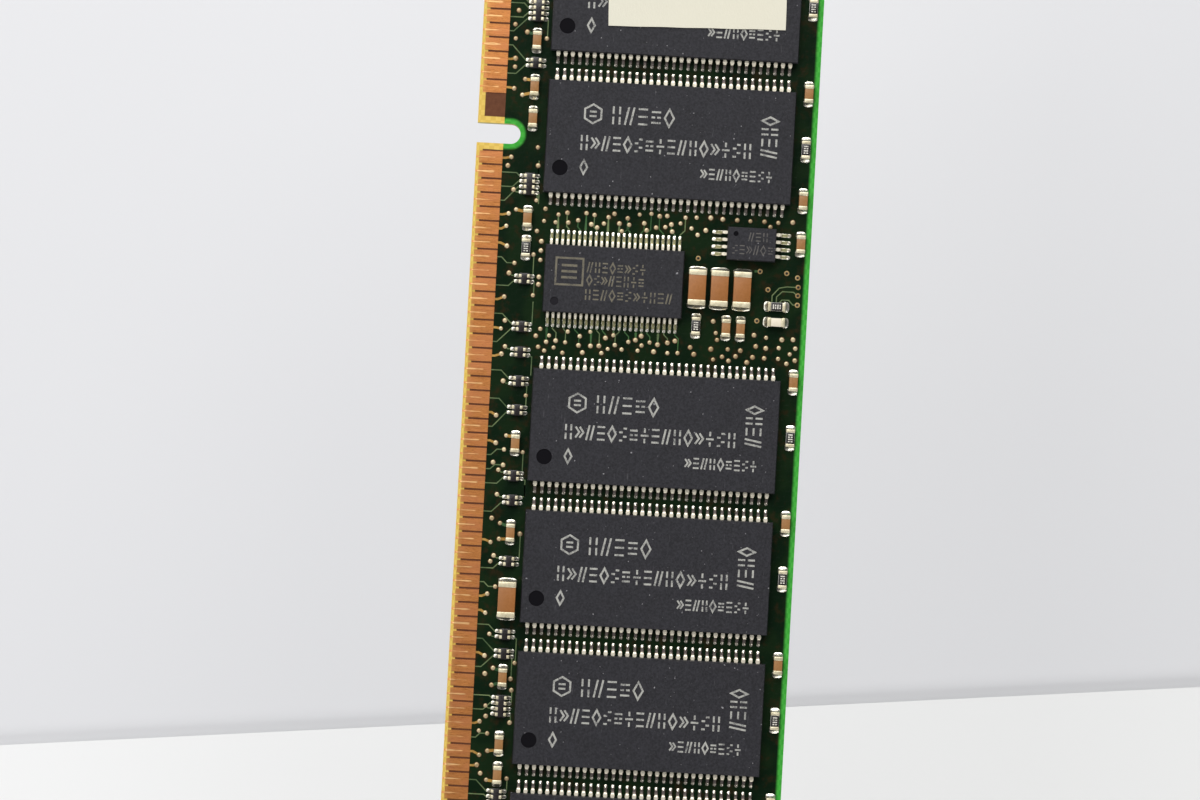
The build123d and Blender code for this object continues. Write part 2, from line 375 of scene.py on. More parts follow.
def board_material():
    """Solder mask, bare laminate and inner copper, told apart by distance from the cut outline."""
    p = Paint("board_laminate_and_mask")
    wide = p.absolute(p.x)
    from_ends = p.minus(HALF_LENGTH, wide)
    from_sides = p.minus(HALF_HEIGHT, p.absolute(p.y))
    inset = p.math("MINIMUM", from_ends, from_sides)

    def from_circle(across, up, x, y, radius):
        dx = p.minus(across, x)
        dy = p.minus(up, y)
        squares = p.plus(p.times(dx, dx), p.times(dy, dy))
        return p.minus(p.math("SQRT", squares), radius)

    slot_end = -HALF_HEIGHT + KEY_DEPTH - KEY_RADIUS
    past_slot = p.math("MAXIMUM", p.y, slot_end)
    inset = p.math("MINIMUM", inset, from_circle(p.x, past_slot, KEY_X, slot_end, KEY_RADIUS))
    for y in LATCH_Y:
        inset = p.math("MINIMUM", inset, from_circle(wide, p.y, HALF_LENGTH, y, LATCH_RADIUS))
    hole = (HALF_LENGTH - HOLE_INSET, -HALF_HEIGHT + HOLE_INSET)
    inset = p.math("MINIMUM", inset, from_circle(wide, p.y, *hole, HOLE_RADIUS))

    wobble = p.times(p.minus(p.noise(0.8), 0.5), 0.06)
    inset = p.plus(inset, wobble)
    under_mask = p.step(inset, COPPER_INSET - 0.3, COPPER_INSET + 0.02)
    copper = p.step(inset, COPPER_INSET - 0.04, COPPER_INSET + 0.04)
    mask_edge = CONTACT_FAR - HALF_HEIGHT
    masked = p.step(p.y, mask_edge - 0.02, mask_edge + 0.02)

    weave = p.node("ShaderNodeTexChecker")
    p.feed(weave.inputs["Vector"], p.mm)
    weave.inputs["Scale"].default_value = 2.2
    cloth = p.times(weave.outputs["Fac"], p.noise(2.0, 3))
    planes = p.step(p.noise(0.35, 1.0, 0.3), 0.42, 0.58)
    dark_mask = p.mix(planes, (3, 24, 9), (11, 31, 12))
    dark_mask = p.mix(p.step(p.noise(1.1, 4, 0.6), 0.5, 0.72, 0.05, 0.6), dark_mask, (44, 30, 14))
    clear_mask = p.mix(cloth, (54, 142, 50), (72, 162, 64))
    mask = p.mix(under_mask, clear_mask, dark_mask)
    bare_laminate = p.mix(cloth, (196, 164, 78), (214, 186, 98))
    over_copper = p.mix(p.noise(2.5, 4), (76, 44, 30), (102, 64, 42))
    bare = p.mix(copper, bare_laminate, over_copper)
    faces = p.mix(masked, bare, mask)

    flat = p.step(p.facing(), 0.5, 0.8)
    plies = p.noise(6.0, 3, stretch=(0.25, 0.25, 2.2))
    cut_edge = p.mix(plies, (150, 142, 74), (204, 196, 128))
    p.colour(p.mix(flat, cut_edge, faces))
    glossy = p.times(masked, flat)
    p.set(Roughness=p.step(glossy, 0, 1, 0.55, 0.3), Specular_IOR_Level=0.1)
    p.bump(p.plus(p.noise(1.4, 3), p.times(cloth, 0.3)), 0.012)
    return p.material


def contact_material():
    """Hard gold with fine lapping lines along the insertion way and one bright rub mark each."""
    p = Paint("hard_gold_contacts")
    lines = p.noise(1.0, 4, 0.7, stretch=(14, 0.6, 1))
    fine = p.noise(1.0, 3, 0.7, stretch=(40, 2.5, 1))
    base = p.mix(lines, (184, 112, 58), (222, 154, 88))
    base = p.mix(p.step(fine, 0.45, 0.75), base, (150, 84, 42))
    first = p.minus(p.x, CONTACT_GROUPS[0][0])
    from_middle = p.math("PINGPONG", first, CONTACT_PITCH / 2)
    drift = p.times(p.minus(p.noise(0.7), 0.5), 0.25)
    from_middle = p.absolute(p.plus(from_middle, drift))
    rub_line = p.step(from_middle, 0.015, 0.06, 1, 0)
    from_edge = p.plus(p.y, HALF_HEIGHT)
    rub_span = p.times(p.step(from_edge, 0.1, 0.3), p.step(from_edge, 1.55, 1.8, 1, 0))
    rub = p.times(p.times(rub_line, rub_span), 0.75)
    warmer = p.step(p.noise(0.45, 3, stretch=(1.6, 0.7, 1)), 0.4, 0.62, 0, 0.45)
    base = p.mix(warmer, base, (208, 132, 88))
    near = p.step(from_edge, 0.3, 0.7, 0.35, 0)
    base = p.mix(near, base, (214, 164, 98))
    p.colour(p.mix(rub, base, (255, 214, 150)))
    p.set(Roughness=p.step(lines, 0.2, 0.8, 0.3, 0.46), Metallic=0.85)
    p.bump(p.plus(lines, fine), 0.006)
    return p.material


def epoxy_material(name, dot_colour):
    """Moulded package epoxy: fine matte grain, faint scuffs, specks of dust and a smooth sunk dot."""
    p = Paint(name)
    grain = p.noise(5.0, 4, 0.7)
    clouds = p.noise(0.5, 3)
    base = p.mix(p.step(grain, 0.3, 0.7), (13, 12, 15), (39, 38, 42))
    base = p.mix(p.times(clouds, 0.3), base, (42, 42, 50))
    streaks = p.noise(1.0, 4, 0.6, stretch=(0.5, 5, 1))
    base = p.flecked(streaks, 0.66, 0.74, 0.16, (120, 118, 122), base)
    base = p.flecked(p.noise(3.4, 1), 0.75, 0.8, 0.5, (170, 168, 170), base)
    below_top = p.minus(PACKAGE_TOP - BOARD_MIDDLE, p.absolute(p.minus(p.z, BOARD_MIDDLE)))
    sunk = p.times(p.step(below_top, 0.01, 0.03), p.step(below_top, 0.1, 0.14, 1, 0))
    dot = p.times(sunk, p.step(p.facing(), 0.93, 0.97))
    p.colour(p.mix(dot, base, dot_colour))
    p.set(Roughness=p.step(dot, 0, 1, 0.62, 0.2), Specular_IOR_Level=p.step(dot, 0, 1, 0.28, 0.1))
    p.bump(p.times(grain, p.step(dot, 0, 1, 1, 0)), 0.03)
    return p.material


def lead_material(name, wetted_shaded_dark, wetted_shaded_light, rough):
    """Tin plating, matte on the shoulders and wetted smooth by solder lower down, where the colour is also
    painted darker as painted shade.
    """
    p = Paint(name)
    above_board = p.minus(p.absolute(p.minus(p.z, BOARD_MIDDLE)), BOARD_TOP - BOARD_MIDDLE)
    high = p.step(above_board, 0.34, 0.5)
    mottle = p.noise(1.6, 4, 0.6)
    matte = p.mix(mottle, (216, 208, 188), (242, 234, 214))
    # Painted shade: below the shoulders the colour is darker than the tin and solder really are, standing in
    # for the shade there.
    wetted_and_shaded = p.mix(mottle, wetted_shaded_dark, wetted_shaded_light)
    p.colour(p.mix(high, wetted_and_shaded, matte))
    p.set(Roughness=p.step(high, 0, 1, rough, 0.46), Metallic=p.step(high, 0, 1, 0.85, 0.72))
    p.bump(p.noise(9.0, 3), 0.01)
    return p.material


def metal_material(name, dark, light, rough, patch=1.2, metallic=0.95):
    """Metal, bare or under the mask: a little uneven and softly mottled, in patches."""
    p = Paint(name)
    mottle = p.noise(patch, 4, 0.6)
    fine = p.noise(patch * 8, 3, 0.6)
    p.colour(p.mix(p.step(mottle, 0.3, 0.7), dark, light))
    p.set(Roughness=p.step(fine, 0.3, 0.7, rough - 0.06, rough + 0.1), Metallic=metallic)
    p.bump(p.plus(mottle, fine), 0.01)
    return p.material


def ceramic_material(name, dark, light, rough=0.42):
    """Fired ceramic or glaze: fine speckle over slow shade changes along the board."""
    p = Paint(name)
    speckle = p.noise(5.0, 4, 0.65)
    slow = p.step(p.noise(0.3, 1), 0.35, 0.65)
    base = p.mix(speckle, dark, light)
    p.colour(p.mix(p.times(slow, 0.5), base, p.mix(0.3, light, (0, 0, 0))))
    p.set(Roughness=p.step(speckle, 0.3, 0.7, rough - 0.05, rough + 0.08))
    p.bump(speckle, 0.012)
    return p.material


def mark_material(name, colour, epoxy):
    """Laser marking: the grain of the epoxy shows through a thin pale bloom."""
    p = Paint(name)
    grain = p.noise(11.0, 3, 0.7)
    worn = p.noise(1.6, 3)
    bloom = p.plus(p.times(grain, 0.55), p.times(worn, 0.35))
    p.colour(p.mix(p.step(bloom, 0.3, 0.5), epoxy, colour))
    p.set(Roughness=p.step(grain, 0.3, 0.7, 0.6, 0.75))
    p.bump(grain, 0.01)
    return p.material


def paper_material():
    """Cream label paper: soft fibres, slow changes of tone and a few darker flecks."""
    p = Paint("label_paper")
    fibres = p.noise(3.0, 5, 0.7, stretch=(1, 3.5, 1))
    tone = p.noise(0.08, 2)
    base = p.mix(fibres, (192, 189, 172), (206, 203, 187))
    base = p.mix(p.times(tone, 0.5), base, (206, 199, 178))
    p.colour(p.flecked(p.noise(2.4, 2), 0.72, 0.78, 0.25, (190, 176, 140), base))
    p.set(Roughness=p.step(fibres, 0.3, 0.7, 0.55, 0.7))
    p.bump(fibres, 0.015)
    return p.material


def silicon_material():
    """Silicon with a pattern of circuit blocks, sealed inside the packages."""
    p = Paint("silicon_die")
    blocks = p.node("ShaderNodeTexBrick")
    p.feed(blocks.inputs["Vector"], p.mm)
    blocks.inputs["Scale"].default_value = 1.1
    shades = {"Color1": (96, 92, 120), "Color2": (112, 108, 104), "Mortar": (150, 144, 128)}
    for socket, shade in shades.items():
        blocks.inputs[socket].default_value = (*srgb(*shade), 1)
    p.colour(blocks.outputs["Color"])
    p.set(Roughness=p.step(p.noise(4.0), 0.3, 0.7, 0.12, 0.25))
    return p.material


board = board_material()
gold = contact_material()
epoxy = epoxy_material("package_epoxy", (16, 15, 18))
clock_epoxy = epoxy_material("clock_driver_epoxy", (33, 32, 35))
# The lower colours of these leads are darker as painted shade.
memory_tin = lead_material("tinned_lead", (104, 94, 92), (146, 136, 128), 0.36)
logic_tin = lead_material("clock_driver_lead", (142, 138, 98), (186, 182, 140), 0.4)
# A darker copy of the same solder for the memory packages' joints: its darker colour is painted shade.
memory_solder_painted_shade = metal_material("memory_solder_painted_shade", (176, 168, 156), (220, 212, 198), 0.22, patch=2.5)
solder = metal_material("reflowed_solder", (212, 206, 188), (242, 238, 224), 0.26, patch=2.5)
via_metal = metal_material("solder_filled_via", (164, 140, 102), (208, 192, 156), 0.4,
                           patch=0.25, metallic=0.5)
ring_metal = metal_material("via_ring", (150, 122, 78), (190, 162, 112), 0.4, patch=0.6, metallic=0.6)
collar_metal = metal_material("via_collar", (60, 34, 16), (96, 60, 30), 0.4, patch=0.6, metallic=0.3)
trace_green = metal_material("masked_trace", (62, 82, 48), (104, 118, 76), 0.34, patch=0.4, metallic=0.1)
broad_green = metal_material("masked_broad_trace", (26, 62, 28), (58, 96, 48), 0.34, patch=0.3,
                             metallic=0.1)
gold_link = metal_material("bare_gold_trace", (150, 112, 50), (186, 146, 76), 0.36, patch=0.8,
                           metallic=0.5)
# Painted shade: a near-black colour for the disc that stands for the dark inside an open via's hole.
hole_shade = metal_material("painted_hole_shade", (14, 12, 8), (40, 30, 20), 0.5, metallic=0.3)
terminal_tin = metal_material("plated_terminal", (189, 179, 147), (223, 214, 184), 0.42,
                              patch=1.6, metallic=0.6)
large_ceramic = ceramic_material("large_capacitor_ceramic", (124, 76, 32), (160, 102, 48))
small_ceramic = ceramic_material("small_capacitor_ceramic", (118, 78, 38), (162, 116, 66))
cream_ceramic = ceramic_material("cream_capacitor_ceramic", (206, 194, 170), (232, 222, 202))
alumina = ceramic_material("alumina_substrate", (214, 210, 200), (240, 238, 230))
dark_glass = ceramic_material("resistor_overcoat", (14, 12, 12), (34, 28, 28), rough=0.3)
pale_mark = mark_material("memory_marking", (158, 157, 150), (52, 51, 55))
tan_mark = mark_material("clock_marking", (98, 92, 76), (42, 40, 40))
faint_mark = mark_material("settings_marking", (80, 76, 72), (34, 33, 36))
value_mark = mark_material("resistor_value_marking", (214, 210, 198), (120, 116, 108))
paper = paper_material()
silicon = silicon_material()


# ---- camera, light and floor, in metres

def look_down_camera():
    """Straight above the top face, turned so the module runs down the frame, a little off upright."""
    target = Vector((16.80, -2.92, BOARD_TOP)) * MM
    distance, lens, sensor, lean = 0.3142, 105.0, 36.0, math.radians(3.12)
    right = Vector((-math.sin(lean), math.cos(lean), 0))
    up = Vector((-math.cos(lean), -math.sin(lean), 0))
    back = right.cross(up)
    data = bpy.data.cameras.new("camera")
    data.lens = lens
    data.sensor_width = sensor
    data.clip_start = 0.01
    camera = new_object("camera", data)
    turn = Matrix((right, up, back)).transposed().to_4x4()
    camera.matrix_world = Matrix.Translation(target + back * distance) @ turn
    bpy.context.scene.camera = camera


def soft_light(name, place, size, power):
    """A rectangular window or lamp that faces the middle of the module."""
    data = bpy.data.lights.new(name, "AREA")
    data.shape = "RECTANGLE"
    data.size, data.size_y = size
    data.energy = power
    light = new_object(name, data)
    light.location = place
    light.rotation_euler = (-Vector(place)).to_track_quat("-Z", "Y").to_euler()


def backdrop(name, corners, drop, dark, light):
    """A flat pale sheet well below the module, whose shadow on it is wide and faint."""
    p = Paint(name)
    p.colour(p.mix(p.noise(0.01, 2), dark, light))
    p.set(Roughness=0.9, Specular_IOR_Level=0.2)
    mesh = bpy.data.meshes.new(name)
    mesh.from_pydata([(x, y, drop) for x, y in corners], [], [(0, 1, 2, 3)])
    mesh.materials.append(p.material)
    new_object(name, mesh)


look_down_camera()
ROOM, SHEET_END = 2.0, 0.8
WALL_DROP, SHEET_DROP = -0.12, -0.119
NEAR_EDGE = ((0.1179, -0.6), (-0.0059, 0.6))        # the table sheet's edge, which crosses the view
backdrop("wall", [(-ROOM, -ROOM), (ROOM, -ROOM), (ROOM, ROOM), (-ROOM, ROOM)], WALL_DROP,
         (204, 204, 206), (210, 210, 211))
FAR_EDGE = [(SHEET_END, y) for x, y in NEAR_EDGE]
backdrop("table_sheet", [NEAR_EDGE[0], *FAR_EDGE, NEAR_EDGE[1]], SHEET_DROP, (221, 221, 221), (226, 226, 224))
soft_light("window", (-0.52, -0.1, 0.44), (0.7, 0.7), 8.2)
soft_light("side_window", (0.0, -0.46, 0.6), (0.7, 0.6), 1.8)
soft_light("low_lamp", (0.52, 0.2, 0.2), (0.5, 0.26), 1.5)
world = bpy.data.worlds.new("studio")
world.use_nodes = True
sky = world.node_tree.nodes["Background"].inputs
sky["Color"].default_value = (0.93, 0.95, 1.0, 1)
sky["Strength"].default_value = 0.2
bpy.context.scene.world = world
bpy.context.scene.view_settings.view_transform = "Standard"


# ---- CAD nodes that stay as they are

def paint_node(node, material):
    mesh = NODES[node].data
    mesh.materials.clear()
    mesh.materials.append(material)


def soften_edges(node, width):
    """Rounds a CAD node's sharp edges, as a mould or a cutter leaves them."""
    weld = NODES[node].modifiers.new("weld", "WELD")
    weld.merge_threshold = 1e-7
    bevel = NODES[node].modifiers.new("bevel", "BEVEL")
    bevel.width = width * MM
    bevel.segments = 2
    bevel.limit_method = "ANGLE"
    bevel.angle_limit = math.radians(35)
    bevel.harden_normals = True


paint_node("circuit_board", board)
paint_node("contact_fingers_top", gold)
paint_node("contact_fingers_bottom", gold)
for package in (*MEMORY_NAMES[TOP], *MEMORY_NAMES[UNDERSIDE], *REGISTERS, "clock_driver", "spd_eeprom"):
    paint_node(package, clock_epoxy if package == "clock_driver" else epoxy)
    soften_edges(package, 0.05)
paint_node("dram_dies", silicon)
paint_node("logic_dies", silicon)


# ---- leads and their solder

def arc_path(corners, radius, steps=4):
    """A bent line through corners with each inner corner rounded."""
    path = [Vector(corners[0])]
    for before, corner, after in zip(corners, corners[1:], corners[2:]):
        corner = Vector(corner)
        into = (Vector(before) - corner).normalized()
        out = (Vector(after) - corner).normalized()
        half = into.angle(out) / 2
        cut = radius / math.tan(half)
        middle = corner + (into + out).normalized() * radius / math.sin(half)
        start, end = corner + into * cut, corner + out * cut
        for i in range(steps + 1):
            mixed = (start - middle).lerp(end - middle, i / steps).normalized()
            path.append(middle + mixed * radius)
    path.append(Vector(corners[-1]))
    return path


def formed_lead(reach, plane, foot, shoulder, foot_width):
    """A stamped and bent lead along +X: a shoulder necked at the moulding, a narrow shank, a flat foot."""
    bend, corner, taper = 0.1, 0.03, 0.26
    neck_long, necked = 0.16, 0.22
    heel = reach - foot + LEAD_THICK / 2
    line = [(-0.05, plane), (heel - HEEL_BACK, plane), (heel, LEAD_THICK / 2), (reach, LEAD_THICK / 2)]
    path = arc_path(line, bend)
    path[1:1] = [Vector((x, plane)) for x in (0.03, 0.08, 0.14, 0.2)]
    half = LEAD_THICK / 2
    verts = []
    for before, point, after in zip(path[:1] + path, path, path[1:] + path[-1:]):
        way = (after - before).normalized()
        normal = Vector((-way.y, way.x))
        along = min(max((point.x - heel + taper) / taper, 0), 1)
        wide = (shoulder + (foot_width - shoulder) * along * along * (3 - 2 * along)) / 2
        wide *= 1 - necked * min(max(1 - point.x / neck_long, 0), 1) ** 2
        ring = ((corner - wide, half), (wide - corner, half), (wide, half - corner),
                (wide, corner - half), (wide - corner, -half), (corner - wide, -half),
                (-wide, corner - half), (-wide, half - corner))
        for across, up in ring:
            verts.append((point.x + normal.x * up, across, point.y + normal.y * up))
    around = len(ring)
    faces = skin(len(path), around, ring=True, flip=True)
    faces += [list(range(around)), list(range(len(verts) - around, len(verts)))[::-1]]
    return verts, faces


# Foot length, shoulder width and foot width of each kind of lead.
LEAD_FORMS = {"memory": (0.42, 0.39, 0.26), "logic": (0.55, 0.27, 0.22), "small": (0.60, 0.30, 0.25)}


def fit_leads(package, form):
    """Formed leads over a package's plain CAD ones, with a solder joint under each foot."""
    foot, shoulder, foot_width = LEAD_FORMS[form]
    solids = solids_of(package + "_leads")
    body = middle_of(package)
    size, side = solids[0][1:]
    axis = 0 if size.x > size.y else 1
    edge = (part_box(package)[1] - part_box(package)[0])[axis] / MM / 2
    reach = max(abs(centre[axis] - body[axis]) for centre, _, _ in solids) + size[axis] / 2 - edge
    lead = formed_lead(reach, size.z - LEAD_THICK / 2, foot, shoulder, foot_width)
    margin, toe = (0.04, 0.28) if form == "memory" else (0.08, 0.34)
    mound = solder_mound(foot_width, foot_width + margin, foot * 0.9, toe, 0.1, 0.05)
    leads = Piece(package + "_formed_leads")
    joints = Piece(package + "_solder")
    for centre, _, _ in solids:
        start, out = centre.xy, Vector((0, 0))
        out[axis] = math.copysign(1, start[axis] - body[axis])
        start[axis] = body[axis] + out[axis] * edge
        leads.add(lead, standing(*start, side, out))
        joints.add(mound, standing(*(start + out * reach), side, out))
    leads.make(memory_tin if form == "memory" else logic_tin, "tinned_leads", replaces=[package + "_leads"])
    joints.make(memory_solder_painted_shade if form == "memory" else solder, "solder_tin")


for package in MEMORY_NAMES[TOP] + MEMORY_NAMES[UNDERSIDE]:
    fit_leads(package, "memory")
for package in ("clock_driver", *REGISTERS):
    fit_leads(package, "logic")
fit_leads("spd_eeprom", "small")


# ---- chip parts

# Strokes of the pale mark on a resistor's overcoat, along and across the part.
VALUE_STROKES = (((-0.3, -0.2), (-0.3, 0.2)), ((-0.1, -0.2), (-0.1, -0.04)), ((-0.1, 0.04), (-0.1, 0.2)),
                 ((0.1, -0.2), (0.1, 0.2)), ((0.3, -0.2), (0.3, -0.04)), ((0.3, 0.04), (0.3, 0.2)))


def fit_chips(bodies, terminals, end, overall, ceramic, pad, coat=False):
    """Rounded bodies, plated ends and solder over the plain CAD capacitors or resistors.

    overall is (length, width, height) and pad is the solder's (toe, extra width, climb).
    """
    length, width, height = overall
    toe, pad_extra, climb = pad
    body_shape = rounded_box(length - 0.08, width - 0.05, height - 0.05, 0.03)
    end_shape = rounded_box(end, width, height, 0.07, 3)
    coat_shape = rounded_box(length - 2 * end - 0.02, width - 0.08, 0.05, 0.02)
    mound = solder_mound(width * 0.94, width + pad_extra, 0.15, toe, climb, 0.1)
    body_piece, end_piece = Piece(bodies + "_bodies"), Piece(terminals + "_plated")
    joints, coats = Piece(bodies + "_solder"), Piece(bodies + "_overcoat")
    cream, values = Piece(bodies + "_cream_body"), Piece(bodies + "_value_marks")
    for centre, size, side in solids_of(bodies):
        centre = centre.xy
        along = Vector((1, 0) if size.x > size.y else (0, 1))
        place = standing(*centre, side, along)
        is_cream = not coat and along.y == 1
        (cream if is_cream else body_piece).add(body_shape, place)
        if coat:
            coats.add(coat_shape, Matrix.Translation((0, 0, side * (height - 0.06))) @ place)
            for stroke in VALUE_STROKES:
                values.add(strip(stroke, 0.1, 0.008),
                           Matrix.Translation((0, 0, side * (height - 0.012))) @ place)
        for out in (-along, along):
            end_piece.add(end_shape, standing(*(centre + out * (length - end) / 2), side, out))
            joints.add(mound, standing(*(centre + out * length / 2), side, out))
    slot = "resistor_ceramic" if coat else "capacitor_ceramic"
    body_piece.make(ceramic, slot, replaces=[bodies])
    end_piece.make(terminal_tin, "solder_tin", replaces=[terminals])
    joints.make(solder, "solder_tin")
    if coat:
        coats.make(dark_glass, slot)
        values.make(value_mark, slot, smooth_below=0)
    elif cream.points:
        cream.make(cream_ceramic, slot)


fit_chips("capacitors_0603", "capacitor_0603_terminals", 0.35, (1.6, 0.8, 0.8), small_ceramic,
          (0.34, 0.1, 0.42))
fit_chips("capacitors_1206", "capacitor_1206_terminals", 0.5, (3.2, 1.6, 1.15), large_ceramic,
          (0.3, 0.08, 0.7))
fit_chips("resistors_0603", "resistor_0603_terminals", 0.3, (1.6, 0.8, 0.5), alumina,
          (0.34, 0.1, 0.3), coat=True)


def fit_arrays(node, elements, ends, joints):
    """Dark glazed array bodies with small plated terminals, each on its own pad."""
    deep, broad = 0.27, 0.32
    body = rounded_box(elements * ARRAY_PITCH, ARRAY_WIDE - 0.1, ARRAY_TALL - 0.01, 0.04)
    end = rounded_box(deep, broad, ARRAY_TALL, 0.05, 3)
    mound = solder_mound(broad * 0.9, broad + 0.04, 0.1, 0.42, 0.24, 0.08)
    bodies = Piece(node + "_bodies")
    for centre, _, side in solids_of(node):
        bodies.add(body, standing(centre.x, centre.y, side))
        for way in (-1, 1):
            for i in range(elements):
                x = centre.x + (i - (elements - 1) / 2) * ARRAY_PITCH
                ends.add(end, standing(x, centre.y + way * (ARRAY_WIDE - deep) / 2, side, (0, way)))
                joints.add(mound, standing(x, centre.y + way * ARRAY_WIDE / 2, side, (0, way)))
    bodies.make(dark_glass, "resistor_ceramic", replaces=[node])


array_ends, array_joints = Piece("array_terminals_plated"), Piece("array_solder")
fit_arrays("resistor_arrays_quad", 4, array_ends, array_joints)
fit_arrays("resistor_arrays_pair", 2, array_ends, array_joints)
array_ends.make(terminal_tin, "solder_tin", replaces=["array_terminals"])
array_joints.make(solder, "solder_tin")


# ---- vias and traces

# Turned profiles of (radius, height).
DOME = round_stack([(0.235, 0.0), (0.222, 0.024), (0.175, 0.046), (0.1, 0.058), (0, 0.062)])
COLLAR = round_stack([(0.285, 0.0), (0.275, 0.01), (0.22, 0.012), (0.21, 0.0)], 16)
EYELET = round_stack([(0.235, 0.0), (0.225, 0.022), (0.18, 0.03), (0.13, 0.026), (0.115, 0.0)], 16)
# A flat dark disc on the face, painted shade in place of an open hole.
HOLE_SHADE_DISC = round_stack([(0.12, 0.0), (0.115, 0.004), (0, 0.004)])
VIA_APART = 0.58                # least distance between two vias
NOTCH_BAND = 0.6                # width of the band with no vias round the key notch
THIN, TAIL, BROAD = 0.09, 0.2, 0.26     # widths of the three kinds of track
TOE = 0.36                      # room for the solder beyond a lead's tip

domes, collars = Piece("solder_filled_vias"), Piece("via_collars")
eyelets, hole_shade_discs = Piece("open_via_rings"), Piece("open_via_hole_shade_discs")
traces, broad_traces, gold_traces = (Piece(name) for name in
                                     ("masked_traces", "masked_broad_traces", "bare_gold_traces"))
placed = {TOP: [], UNDERSIDE: []}
keep_out = {TOP: [], UNDERSIDE: []}


def reserve(box, along_x, along_y):
    """Keeps vias off a box and off a margin round it."""
    keep_out[side_of(box)].append((box[0].x - along_x, box[1].x + along_x,
                                   box[0].y - along_y, box[1].y + along_y))


for package in MEMORY_NAMES[TOP] + MEMORY_NAMES[UNDERSIDE] + ["clock_driver"]:
    reserve([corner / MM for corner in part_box(package)], TOE + 0.85, 0.1)
for package in ("spd_eeprom", *REGISTERS):
    reserve([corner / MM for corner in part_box(package)], 0.0, TOE + 1.0)
for node in ("capacitors_0603", "capacitors_1206", "resistors_0603"):
    for box in islands(node):
        lengthwise = (box[1] - box[0]).x > (box[1] - box[0]).y
        reserve(box, 0.75 if lengthwise else 0.12, 0.12 if lengthwise else 0.75)
for node in ("resistor_arrays_quad", "resistor_arrays_pair"):
    for box in islands(node):
        reserve(box, 0.1, 0.5)
for side in (TOP, UNDERSIDE):
    keep_out[side].append((KEY_X - KEY_RADIUS - NOTCH_BAND, KEY_X + KEY_RADIUS + NOTCH_BAND,
                           -HALF_HEIGHT, -HALF_HEIGHT + KEY_DEPTH + NOTCH_BAND))


def is_free(x, y, side, margin=0.16):
    """Whether a via fits at a place, clear of the parts and of the other vias."""
    for low_x, high_x, low_y, high_y in keep_out[side]:
        if low_x - margin < x < high_x + margin and low_y - margin < y < high_y + margin:
            return False
    return all((x - a) ** 2 + (y - b) ** 2 > VIA_APART ** 2 for a, b in placed[side])


def via(x, y, side):
    """A solder-filled via, unless a part or another via already stands there."""
    if not is_free(x, y, side):
        return False
    placed[side].append((x, y))
    place = standing(x, y, side) @ Matrix.Scale(random.uniform(0.74, 0.92), 4)
    domes.add(DOME, place)
    collars.add(COLLAR, place)
    return True


def open_via(x, y, side):
    """A plated ring round a dark disc, painted shade that stands for the open hole."""
    placed[side].append((x, y))
    place = standing(x, y, side)
    eyelets.add(EYELET, place)
    hole_shade_discs.add(HOLE_SHADE_DISC, place)


def trace(points, side, width=THIN, piece=traces):
    """A copper track on one face, through points in board coordinates."""
    origin = Matrix.Translation((0, 0, face_z(side)))
    if side == UNDERSIDE:
        origin = origin @ Matrix.Scale(-1, 4, (0, 0, 1))
        points = list(reversed(points))
    piece.add(strip(points, width, 0.014), origin)


contact_x = [first + i * CONTACT_PITCH for first, count in CONTACT_GROUPS for i in range(count)]
contact_end = CONTACT_FAR - HALF_HEIGHT
track_start = contact_end - 0.03            # a track begins a little way under its contact


def nearest_contacts(x, count, step):
    """Indices of the contacts that a resistor array's elements are wired to."""
    middle = min(range(len(contact_x)), key=lambda i: abs(contact_x[i] - x))
    first = middle - step * (count - 1) // 2
    return [first + step * i for i in range(count) if 0 <= first + step * i < len(contact_x)]


def wire_arrays(side):
    """Tracks from the contacts to the array terminals, and from the arrays on towards the packages."""
    wired = set()
    for node, count, step in (("resistor_arrays_quad", 4, 1), ("resistor_arrays_pair", 2, 2)):
        for centre, _, face in solids_of(node):
            if face != side:
                continue
            near, far = centre.y - 0.85, centre.y + 0.85
            for i, index in enumerate(nearest_contacts(centre.x, count, step)):
                x, end = contact_x[index], centre.x + (i - (count - 1) / 2) * ARRAY_PITCH
                if index in wired or abs(end - x) > 1.35:
                    if via(end - 0.2, near - 0.55, side):
                        trace([(end - 0.2, near - 0.5), (end, near - 0.3), (end, near)], side)
                    continue
                wired.add(index)
                run = min(abs(end - x), near - contact_end - 0.5)
                trace([(x, track_start), (x, near - 0.12 - run), (end, near - 0.12), (end, near)], side)
            for i in range(count):
                x = centre.x + (i - (count - 1) / 2) * ARRAY_PITCH
                way = -1 if i < count / 2 else 1
                lane = far - 0.1 + random.choice((0, 0.15, 0.3))
                reach = random.uniform(0.6, 2.2)
                if random.random() < 0.35:
                    continue
                trace([(x, far - 0.3), (x + way * 0.12, lane), (x + way * reach, lane)], side)
                via(x + way * (reach + 0.1), lane - 0.05, side)
    return wired


def wire_contacts(side, wired):
    """Vias near the contacts, most of them joined to one by a bare gold tail or a thin track."""
    for i, x in enumerate(contact_x):
        lean = random.choice((-1, 1))
        if i not in wired:
            jog = lean * random.uniform(0.35, 0.6)
            far = contact_end + random.uniform(1.3, 1.6)
            end = (x + lean * random.uniform(0.05, 0.3), contact_end + random.uniform(0.62, 0.85))
            if random.random() < 0.38 and via(x + jog, far, side):
                trace([(x, track_start), (x, contact_end + 0.4),
                       (x + jog, contact_end + 0.4 + abs(jog)), (x + jog, far)], side)
            elif via(*end, side):
                trace([(x, contact_end - 0.04), (x, contact_end + 0.25), end], side, TAIL, gold_traces)
        if random.random() < 0.5:
            via(x + lean * 0.6, contact_end + random.uniform(0.5, 1.3), side)


